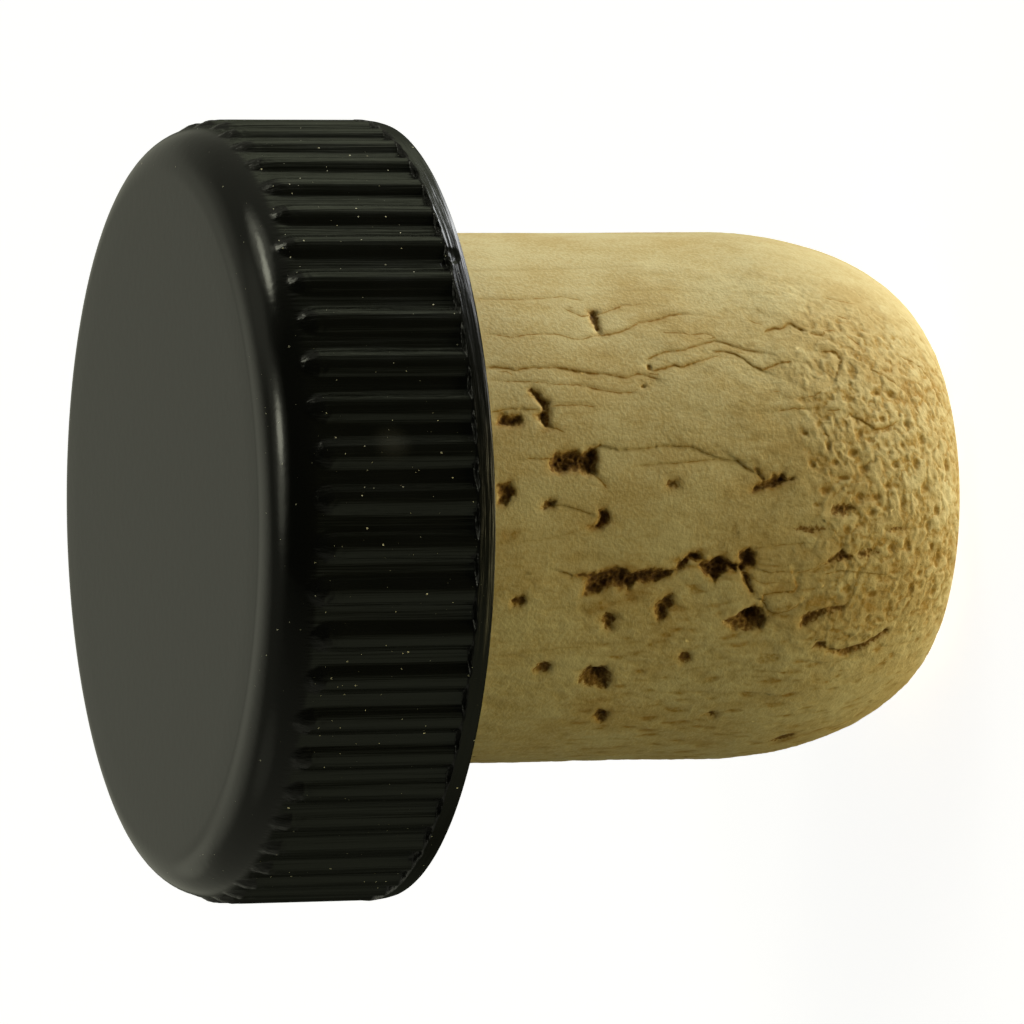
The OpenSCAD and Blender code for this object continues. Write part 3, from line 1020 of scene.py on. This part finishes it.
def cap_colour(tree, place, face):
    """Black, a grey patch as a painted highlight, and pale dust: small balls in space that the surface
    cuts.
    """
    specks = node(tree, "TexVoronoi", {"Vector": place, "Scale": DUST_SCALE})
    parts = node(tree, "SeparateColor", {"Color": specks.outputs["Color"]})
    size = scaled(tree, maths(tree, "POWER", parts.outputs[0], 6.0), DUST_R_MORE, DUST_R)
    size = times(tree, size, scaled(tree, face, -DUST_ON_FACE, 1.0))
    dust = maths(tree, "LESS_THAN", specks.outputs["Distance"], size)
    pale = mix(tree, parts.outputs[1], (*DUST_DULL, 1), (*DUST_PALE, 1))
    # painted highlight: the colour turns to a soft grey near a point on the ribs
    middle = tuple(c * MM for c in HIGHLIGHT_PLACE)
    away = node(tree, "VectorMath", {0: place, 1: middle}, operation="DISTANCE").outputs["Value"]
    highlight_patch = between(tree, HIGHLIGHT_R * MM, 0.0, away)
    return mix(tree, dust, mix(tree, highlight_patch, (*BLACK, 1), (*HIGHLIGHT_GREY, 1)), pale)


def cap_roughness(tree, place, grip, band):
    """Moulded gloss, duller on the grip and on the band."""
    cloud = clouds(tree, place, scale=350, detail=4)
    gloss = between(tree, 0.3, 0.7, cloud, to=PLAIN_ROUGHNESS)
    dull = between(tree, 0.3, 0.7, cloud, to=GRIP_ROUGHNESS)
    return mix_grey(tree, band, mix_grey(tree, grip, gloss, dull), BAND_ROUGHNESS)


def cap_bump(tree, place, grip, band):
    """Fine drag lines along the grip, rings round the band, and the skin of the moulding."""
    lines = clouds(tree, stretched(tree, place, (1, 1, 0.02)), scale=7000, detail=4)
    drag = times(tree, maths(tree, "SUBTRACT", grip, band), 0.7)
    relief = bump(tree, lines, strength=drag, distance=0.06)
    rings = clouds(tree, stretched(tree, place, (0.04, 0.04, 1)), scale=6000, detail=3)
    relief = bump(tree, rings, strength=times(tree, band, 0.3), distance=0.1, under=relief)
    skin = clouds(tree, place, scale=2500, detail=3)
    return bump(tree, skin, strength=0.05, distance=0.1, under=relief)


def cap_material():
    material, tree, place, height = new_material("black_plastic")
    # 1 on the ribs, on the band and on the top face, and 0 elsewhere
    grip = between(tree, (TOP_Z - 1.2) * MM, (TOP_Z - 1.8) * MM, height)
    band = between(tree, (RIM_Z + BAND_H) * MM, (RIM_Z + BAND_H - 0.03) * MM, height)
    face = between(tree, (TOP_Z - 0.05) * MM, (TOP_Z - 0.01) * MM, height)
    finish(tree, node(tree, "BsdfPrincipled", {
        "Base Color": cap_colour(tree, place, face),
        "Roughness": cap_roughness(tree, place, grip, band),
        "Specular IOR Level": scaled(tree, band, -GLOSS_LESS, GLOSS),
        "IOR": PLASTIC_IOR,
        "Normal": cap_bump(tree, place, grip, band),
    }))
    return material


# colours of the cork by tone, of its paler end, and of the pores from rim to floor
CORK_TONES = [(0.41, linear(204, 178, 117)), (0.5, linear(214, 194, 138)), (0.58, linear(220, 204, 151))]
CORK_PALE = linear(232, 220, 168)
PORE_TONES = [
    (0.15, linear(178, 146, 84)), (0.42, linear(142, 108, 52)), (0.7, linear(112, 80, 35)),
    (1.0, linear(80, 54, 22)),
]
# what the body's colour is multiplied by, from no stain to a full one
STAIN_TONES = [(0.0, (1.0, 1.0, 1.0)), (0.5, (0.66, 0.5, 0.25)), (1.0, (0.4, 0.26, 0.09))]
# heights between which the cork turns slightly paler, and how far at its end
PALER_FROM = 11
PALER_TO = 3
PALER_SHARE = 0.15
# half the width of the weakest crack, and how much the strongest adds
CRACK_WIDTH = 0.015
CRACK_WIDTH_MORE = 0.035
CORK_ROUGHNESS = 0.85
CORK_GLOSS = 0.2


def crack_line(tree, field, grit, blotches):
    """A hair-thin uneven line where the distance from the crack passes through zero."""
    wide = scaled(tree, field("split"), CRACK_WIDTH_MORE, CRACK_WIDTH)
    wide = times(tree, wide, scaled(tree, grit, 2.0, 1.0))
    off_line = maths(tree, "DIVIDE", maths(tree, "ABSOLUTE", field("gap")), wide)
    strong = between(tree, 0.0, 0.75, field("split"))
    line = times(tree, between(tree, 1.3, 0.2, off_line), strong)
    broken = scaled(tree, between(tree, 0.36, 0.6, blotches), 0.65, 0.35)
    return times(tree, line, broken)


def pored(tree, body, place, pit_and_shadow):
    """The body's colour with its pores: brown and crumbly, darker towards the middle, with their painted
    shadow.
    """
    grains = maths(tree, "SUBTRACT", clouds(tree, place, scale=6500, detail=3), 0.5)
    dark = ramp(tree, scaled(tree, grains, 1.8, pit_and_shadow), PORE_TONES)
    frayed = between(tree, 0.06, 0.4, scaled(tree, grains, 1.2, pit_and_shadow))
    inside = times(tree, frayed, between(tree, 0.02, 0.22, pit_and_shadow))
    return mix(tree, inside, body, dark)


def cork_material():
    material, tree, place, height = new_material("natural_cork")

    def field(name):
        return node(tree, "Attribute", attribute_name=name).outputs["Fac"]

    broad = clouds(tree, stretched(tree, place, (1, 1, 0.7)), scale=420, detail=6, roughness=0.6)
    streak = clouds(tree, stretched(tree, place, (1, 1, 0.35)), scale=1500, detail=4)
    fine = clouds(tree, place, scale=8000, detail=3)
    blotches = clouds(tree, place, scale=3500, detail=5)
    tone = scaled(tree, broad, 0.5, scaled(tree, streak, 0.15, times(tree, fine, 0.35)))
    end = between(tree, PALER_FROM * MM, PALER_TO * MM, height)
    body = mix(tree, times(tree, end, PALER_SHARE), ramp(tree, tone, CORK_TONES), (*CORK_PALE, 1))
    # the stain is uneven, so that lines and rims look soaked rather than drawn
    grit = maths(tree, "SUBTRACT", fine, 0.5)
    uneven = scaled(tree, grit, 2.2, scaled(tree, blotches, 1.6, 0.2))
    stain = maths(tree, "MULTIPLY", field("stain"), uneven, clamp=True)
    line = times(tree, crack_line(tree, field, grit, blotches), 0.9)
    soaked = maths(tree, "MAXIMUM", stain, line)
    coarse = bump(tree, streak, strength=0.2, distance=0.1)
    body = mix(tree, 1.0, body, ramp(tree, soaked, STAIN_TONES), "MULTIPLY")
    finish(tree, node(tree, "BsdfPrincipled", {
        "Base Color": pored(tree, body, place, field("pit_and_shadow")),
        "Roughness": CORK_ROUGHNESS,
        "Specular IOR Level": CORK_GLOSS,
        "Normal": bump(tree, fine, strength=0.35, distance=0.06, under=coarse),
    }))
    return material


# ---- stage, light and camera

FLOOR_HALF = 3.0
FLOOR_GREY = 0.4
FLOOR_GLOW = 0.88

# the camera is rolled so that the standing stopper lies across the picture
CAMERA_AIM = (-0.14, 0.0, 15.56)
CAMERA_DISTANCE = 316.97
CAMERA_AZIMUTH = 0.235
CAMERA_ELEVATION = 18.58
CAMERA_ROLL = 90.74
CAMERA_LENS = 298.8
SENSOR = 36


def make_floor():
    """A white floor, in metres, that adds no light to the object."""
    mesh = bpy.data.meshes.new("floor")
    h = FLOOR_HALF
    mesh.from_pydata([(-h, -h, 0), (h, -h, 0), (h, h, 0), (-h, h, 0)], [], [(0, 1, 2, 3)])
    floor = in_scene("floor", mesh)
    material = bpy.data.materials.new("pale_floor")
    tree = emptied(material)
    matt = node(tree, "BsdfDiffuse", {"Color": (FLOOR_GREY, FLOOR_GREY, FLOOR_GREY, 1)})
    glow = node(tree, "Emission", {"Color": (1, 1, 1, 1), "Strength": FLOOR_GLOW})
    finish(tree, node(tree, "AddShader", {0: matt.outputs[0], 1: glow.outputs[0]}))
    mesh.materials.append(material)
    for ray in ("diffuse", "glossy", "transmission", "shadow"):
        setattr(floor, "visible_" + ray, False)
    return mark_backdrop(floor)


SKY_TINT = (1, 1.01, 0.8)
KEY_TINT = (1, 1.02, 1.05)
GROUND_TINT = (1, 0.88, 0.42)
LOW_TINT = (1, 0.87, 0.48)
FRONT_TINT = (1, 0.98, 0.92)
SKIRT_TINT = (1, 1.08, 0.75)

# level of the walls and of the skirt below them: azimuth, level
WALLS = [
    (-180, 0.27), (-165, 0.28), (-150, 0.22), (-135, 0.17), (-105, 0.18), (-90, 0.17), (-75, 0.15),
    (-60, 0.125), (-45, 0.085), (-28, 0.055), (-20, 0.02), (52, 0.03), (65, 0.06), (78, 0.15), (90, 0.2),
    (105, 0.2), (120, 0.18), (135, 0.16), (150, 0.18), (165, 0.25), (180, 0.27),
]
SKIRT = [
    (-180, 0.02), (-120, 0.03), (-100, 0.1), (-85, 0.18), (-72, 0.22), (-45, 0.21), (-31, 0.14),
    (-15, 0.06), (0, 0.025), (40, 0.02), (55, 0.03), (70, 0.08), (85, 0.14), (97, 0.3), (107, 0.6),
    (120, 0.3), (135, 0.4), (148, 0.07), (180, 0.02),
]

# heights over which the ceiling, the skirt and the ground take over
CEILING_FROM = (50, 72)
SKIRT_FROM = (-6, -16)
GROUND_FROM = (-35, -55)
CEILING_LEVEL = 0.15
GROUND_LEVEL = 0.1

# soft round lamps: azimuth, height, radius and level of those in the sky, and azimuth, height,
# outer radius, inner radius, level and colour of those below
SKY_LAMPS = [
    (82, 31, 8, 4.3), (91, 26.5, 6.5, 2.6), (100, 26.5, 8, 0.4), (90, 27, 19, 0.75), (43, 66, 8.5, 3.6),
    (43, 66, 14, 0.6), (16, 72.5, 12, 0.5), (-8, 72, 12, 0.1), (40, 68, 24, 0.27), (-162, 51, 32, 0.36),
    (165, 50, 30, 0.15), (-157, 19, 12, 0.17), (-92, 37, 17, 0.12), (106, 57, 18, 0.17),
]
LOW_LAMPS = [
    (97, -45, 16, 9, 9.5, KEY_TINT), (118, -46, 16, 8, 7.5, KEY_TINT),
    (-28, -62, 20, 8, 2.3, GROUND_TINT), (8, -66, 20, 8, 4.7, LOW_TINT),
    (66, -66, 18, 8, 5.2, FRONT_TINT),
]


def studio(tree, way):
    """The light from each direction: walls, ceiling, skirt and ground, with the lamps on top."""
    part = node(tree, "SeparateXYZ", {0: way})
    front = times(tree, part.outputs[1], -1.0)
    turn = scaled(tree, maths(tree, "ARCTAN2", part.outputs[0], front), 0.5 / math.pi, 0.5)
    rise = times(tree, maths(tree, "ARCSINE", part.outputs[2]), 180 / math.pi)

    def around(stops):
        return ramp(tree, turn, [((azimuth + 180) / 360, level) for azimuth, level in stops], "EASE")

    def tinted(shade, tint):
        return mix(tree, 1.0, shade, (*tint, 1), "MULTIPLY")

    ceiling = (CEILING_LEVEL, CEILING_LEVEL, CEILING_LEVEL, 1)
    walls = tinted(mix(tree, between(tree, *CEILING_FROM, rise), around(WALLS), ceiling), SKY_TINT)
    light = mix(tree, between(tree, *SKIRT_FROM, rise), walls, tinted(around(SKIRT), SKIRT_TINT))
    ground = (*(GROUND_LEVEL * c for c in GROUND_TINT), 1)
    light = mix(tree, between(tree, *GROUND_FROM, rise), light, ground)
    lamps = [(azimuth, height, r, 0, level, SKY_TINT) for azimuth, height, r, level in SKY_LAMPS]
    for azimuth, height, outer, inner, level, tint in lamps + LOW_LAMPS:
        # full inside the inner radius, fading to nothing at the outer one
        aim = direction(math.radians(azimuth), math.radians(height))
        near = node(tree, "VectorMath", {0: way, 1: aim}, operation="DOT_PRODUCT")
        share = between(tree, math.cos(math.radians(outer)), math.cos(math.radians(inner)),
                        near.outputs["Value"])
        lamp = mix(tree, 1.0, (*(level * c for c in tint), 1), share, "MULTIPLY")
        light = mix(tree, 1.0, light, lamp, "ADD")
    return light


def make_world():
    """Lights the object with the studio, and shows the camera plain white."""
    world = bpy.data.worlds.new("studio")
    bpy.context.scene.world = world
    tree = emptied(world)
    light = studio(tree, node(tree, "TexCoord").outputs["Generated"])
    lit = node(tree, "Background", {"Color": light, "Strength": 1.0})
    white = node(tree, "Background", {"Color": (1, 1, 1, 1), "Strength": 1.0})
    seen = node(tree, "LightPath").outputs["Is Camera Ray"]
    choice = node(tree, "MixShader", {0: seen, 1: lit.outputs[0], 2: white.outputs[0]})
    node(tree, "OutputWorld", {"Surface": choice.outputs[0]})


def direction(azimuth, height):
    """Unit vector for an azimuth from the front (-Y) towards +X and a height, both in radians."""
    level = math.cos(height)
    return math.sin(azimuth) * level, -math.cos(azimuth) * level, math.sin(height)


def camera_axes():
    """Unit vectors from the aim back to the camera, and to the right and up in its picture."""
    azimuth, elevation, roll = (
        math.radians(v) for v in (CAMERA_AZIMUTH, CAMERA_ELEVATION, CAMERA_ROLL)
    )
    back = np.array(direction(azimuth, elevation))
    level = np.array([math.cos(azimuth), math.sin(azimuth), 0.0])
    rise = np.cross(back, level)
    right = math.cos(roll) * level - math.sin(roll) * rise
    return back, right, np.cross(back, right)


def make_camera():
    data = bpy.data.cameras.new("camera")
    data.lens = CAMERA_LENS
    data.sensor_width = SENSOR
    data.clip_start = 0.01
    camera = in_scene("camera", data)
    back, right, up = camera_axes()
    place = (np.array(CAMERA_AIM) + CAMERA_DISTANCE * back) * MM
    turn = Matrix((right, up, back)).transposed().to_4x4()
    camera.matrix_world = Matrix.Translation(Vector(place)) @ turn
    bpy.context.scene.camera = camera


# ---- the scene

def main():
    bpy.context.scene.view_settings.view_transform = "Standard"
    make_camera()
    make_world()
    make_floor()
    cap = make_cap()
    cap.data.materials.append(cap_material())
    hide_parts("cap")
    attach(cap, "root")
    cork = make_cork()
    cork.data.materials.append(cork_material())
    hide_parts("cork")
    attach(cork, "root")
    print("triangles", {piece.name: triangles(piece) for piece in (cap, cork)})


main()
